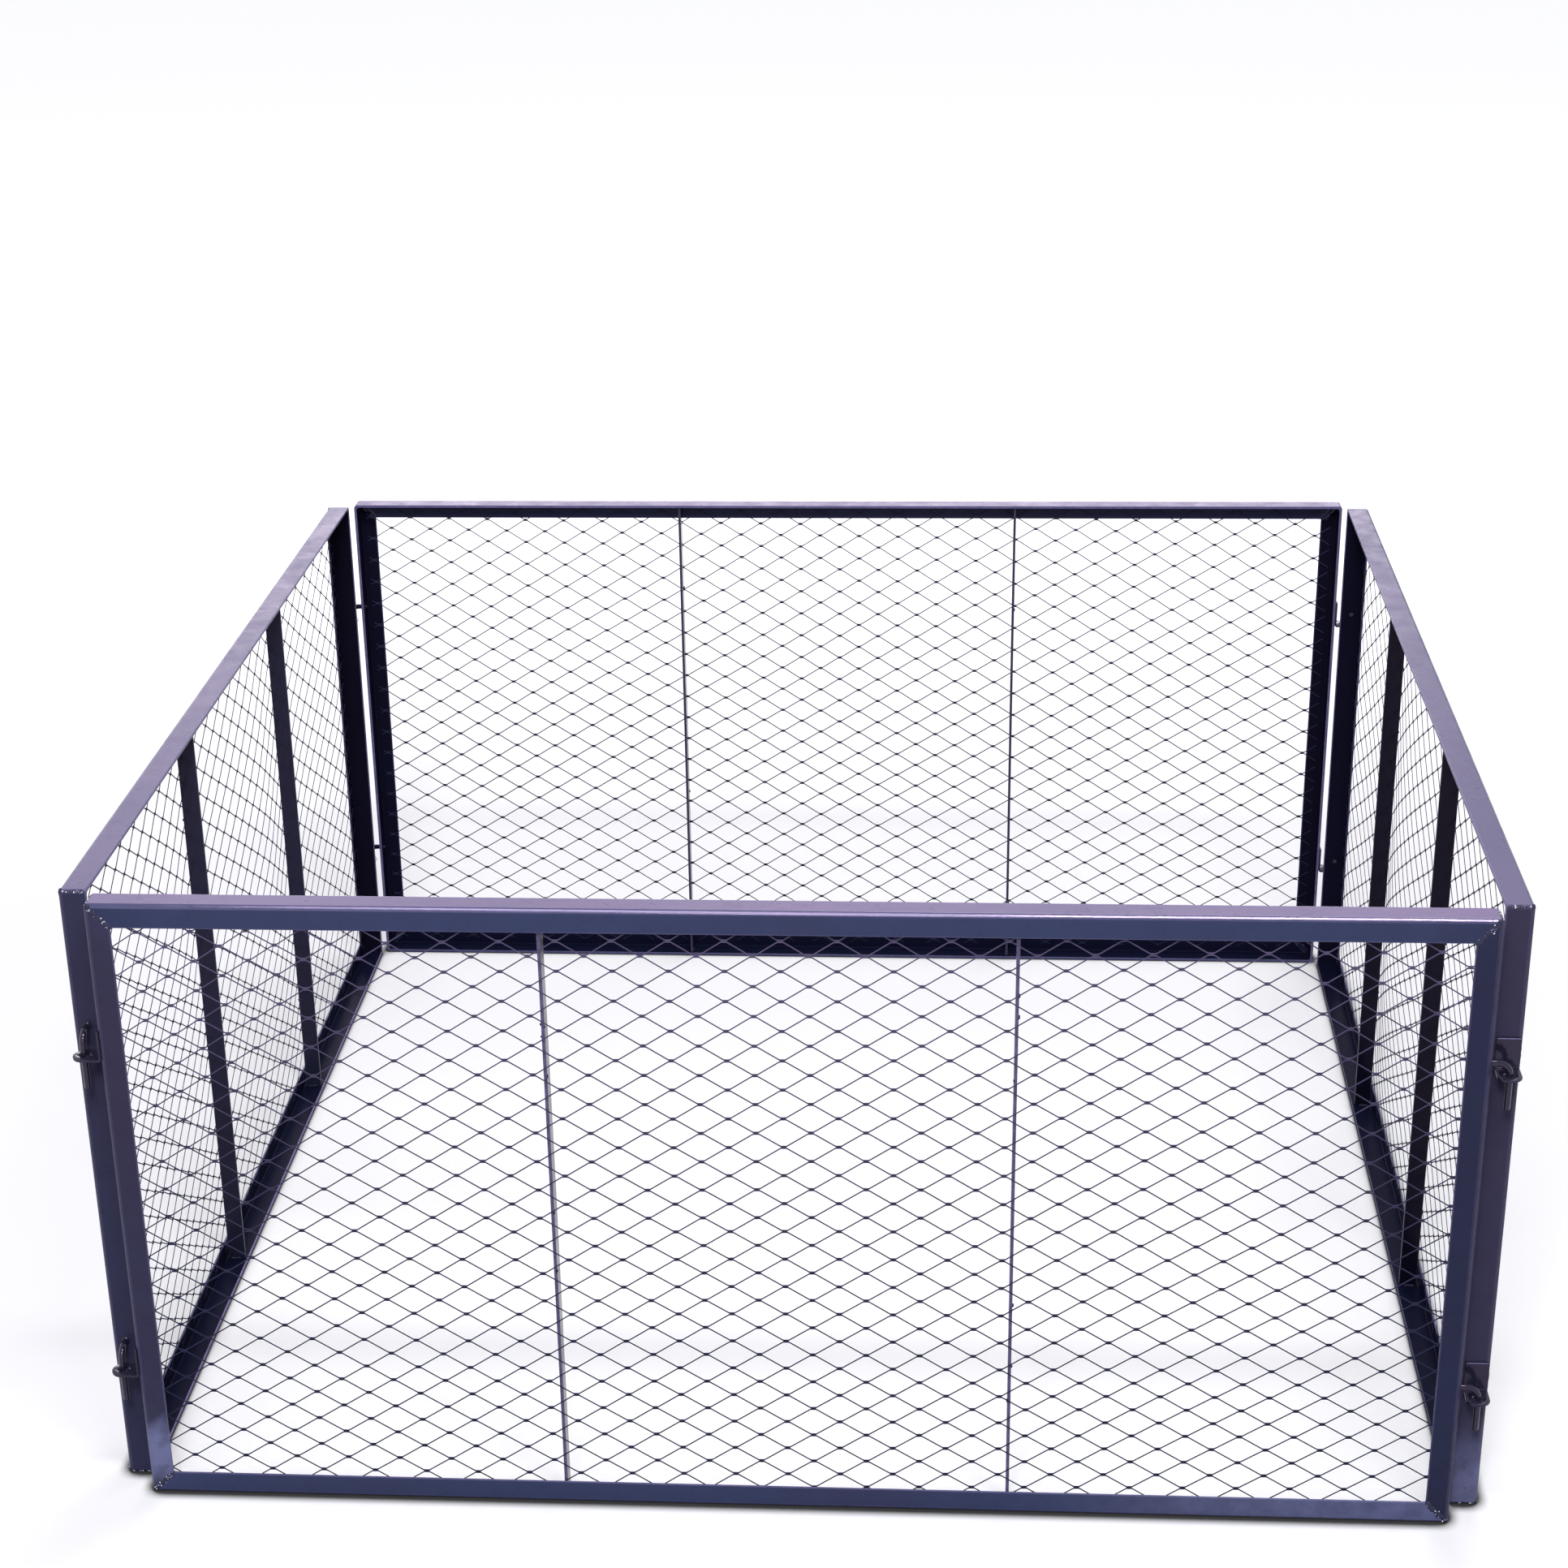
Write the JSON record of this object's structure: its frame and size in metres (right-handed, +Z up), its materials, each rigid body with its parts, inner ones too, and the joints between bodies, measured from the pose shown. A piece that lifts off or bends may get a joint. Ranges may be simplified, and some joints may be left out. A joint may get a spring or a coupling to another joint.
{
  "type": "wire mesh compost bin",
  "caption": "Open square garden compost bin of steel-framed expanded-metal mesh panels that hook together at the corners and swing open like gates.",
  "frame": {"origin": "on the ground in the middle of the square the panels stand on", "axes": "+Z up; the front panel faces -Y; the right panel faces +X"},
  "size_m": [1.262, 1.262, 0.6],
  "materials": {
    "frame_paint": "gloss dark slate-violet paint",
    "bar_paint": "gloss dark slate-violet paint",
    "mesh_paint": "gloss dark slate-violet paint",
    "pin_paint": "gloss dark slate-violet paint",
    "eye_paint": "gloss dark slate-violet paint"
  },
  "bodies": {
    "back_panel": {"back_top_rail": "frame_paint", "back_bottom_rail": "frame_paint", "back_left_stile": "frame_paint", "back_right_stile": "frame_paint", "back_left_stiffener": "bar_paint", "back_right_stiffener": "bar_paint", "back_mesh": "mesh_paint", "back_upper_hook_pin": "pin_paint", "back_lower_hook_pin": "pin_paint", "back_upper_eye_plate": "eye_paint", "back_lower_eye_plate": "eye_paint"},
    "left_panel": {"left_top_rail": "frame_paint", "left_bottom_rail": "frame_paint", "left_left_stile": "frame_paint", "left_right_stile": "frame_paint", "left_left_stiffener": "bar_paint", "left_right_stiffener": "bar_paint", "left_mesh": "mesh_paint", "left_upper_hook_pin": "pin_paint", "left_lower_hook_pin": "pin_paint", "left_upper_eye_plate": "eye_paint", "left_lower_eye_plate": "eye_paint"},
    "right_panel": {"right_top_rail": "frame_paint", "right_bottom_rail": "frame_paint", "right_left_stile": "frame_paint", "right_right_stile": "frame_paint", "right_left_stiffener": "bar_paint", "right_right_stiffener": "bar_paint", "right_mesh": "mesh_paint", "right_upper_hook_pin": "pin_paint", "right_lower_hook_pin": "pin_paint", "right_upper_eye_plate": "eye_paint", "right_lower_eye_plate": "eye_paint"},
    "front_panel": {"front_top_rail": "frame_paint", "front_bottom_rail": "frame_paint", "front_left_stile": "frame_paint", "front_right_stile": "frame_paint", "front_left_stiffener": "bar_paint", "front_right_stiffener": "bar_paint", "front_mesh": "mesh_paint", "front_upper_hook_pin": "pin_paint", "front_lower_hook_pin": "pin_paint", "front_upper_eye_plate": "eye_paint", "front_lower_eye_plate": "eye_paint"}
  },
  "joints": [
    {"name": "left_hinge", "type": "hinge", "parent": "back_panel", "child": "left_panel", "pos_m": [-0.618, 0.618, 0.3], "axis": [0, 0, -1], "range_deg": [0, 180]},
    {"name": "right_hinge", "type": "hinge", "parent": "back_panel", "child": "right_panel", "pos_m": [0.618, 0.618, 0.3], "axis": [0, 0, 1], "range_deg": [0, 180]},
    {"name": "front_hinge", "type": "hinge", "parent": "left_panel", "child": "front_panel", "pos_m": [-0.618, -0.618, 0.3], "axis": [0, 0, -1], "range_deg": [0, 180]}
  ]
}
